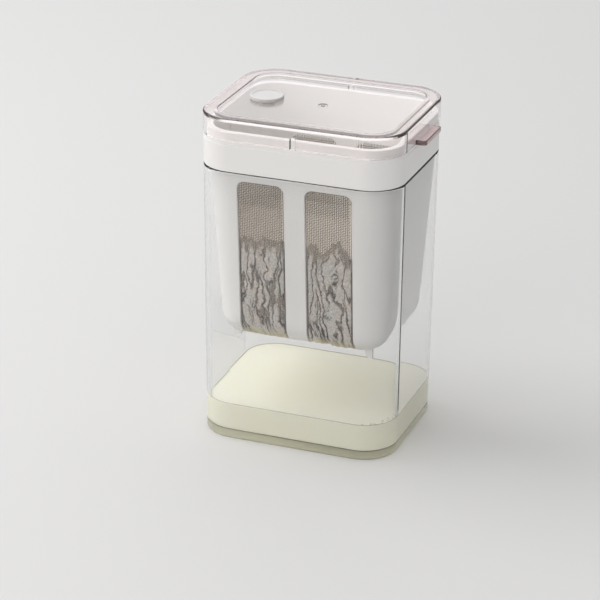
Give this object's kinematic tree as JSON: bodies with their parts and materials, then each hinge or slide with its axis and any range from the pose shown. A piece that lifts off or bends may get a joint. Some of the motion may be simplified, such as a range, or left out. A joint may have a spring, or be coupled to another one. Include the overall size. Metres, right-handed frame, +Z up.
{
  "type": "yoghurt strainer",
  "caption": "Clear rounded-box container with a hanging white mesh strainer basket, a clear tinted lid with a pull tab, and a soft vent plug, for draining whey from yoghurt or fresh cheese.",
  "frame": {"origin": "centre of the container's footprint, on the surface it stands on", "axes": "+Z up; +X to the right along the wide front, towards the lid's pull tab; +Y to the back"},
  "size_m": [0.1313, 0.1028, 0.2044],
  "materials": {
    "clear_plastic": "clear, polished, injection moulded",
    "white_plastic": "white, semi-gloss, injection moulded",
    "steel_mesh": "fine plain weave, warm grey",
    "tinted_plastic": "clear with a faint pink-grey tint, polished",
    "soft_plug": "translucent white silicone, satin"
  },
  "bodies": {
    "container": {"container": "clear_plastic"},
    "basket": {"strainer_frame": "white_plastic", "mesh_left": "steel_mesh", "mesh_right": "steel_mesh"},
    "lid": {"lid": "tinted_plastic"},
    "vent_plug": {"vent_plug": "soft_plug"}
  },
  "joints": [
    {"name": "basket_lift", "type": "slide", "parent": "container", "child": "basket", "axis": [0, 0, 1], "range_m": [0, 0.125]},
    {"name": "lid_lift", "type": "slide", "parent": "basket", "child": "lid", "axis": [0, 0, 1], "range_m": [0, 0.04]},
    {"name": "plug_lift", "type": "slide", "parent": "lid", "child": "vent_plug", "axis": [0, 0, 1], "range_m": [0, 0.015]}
  ]
}
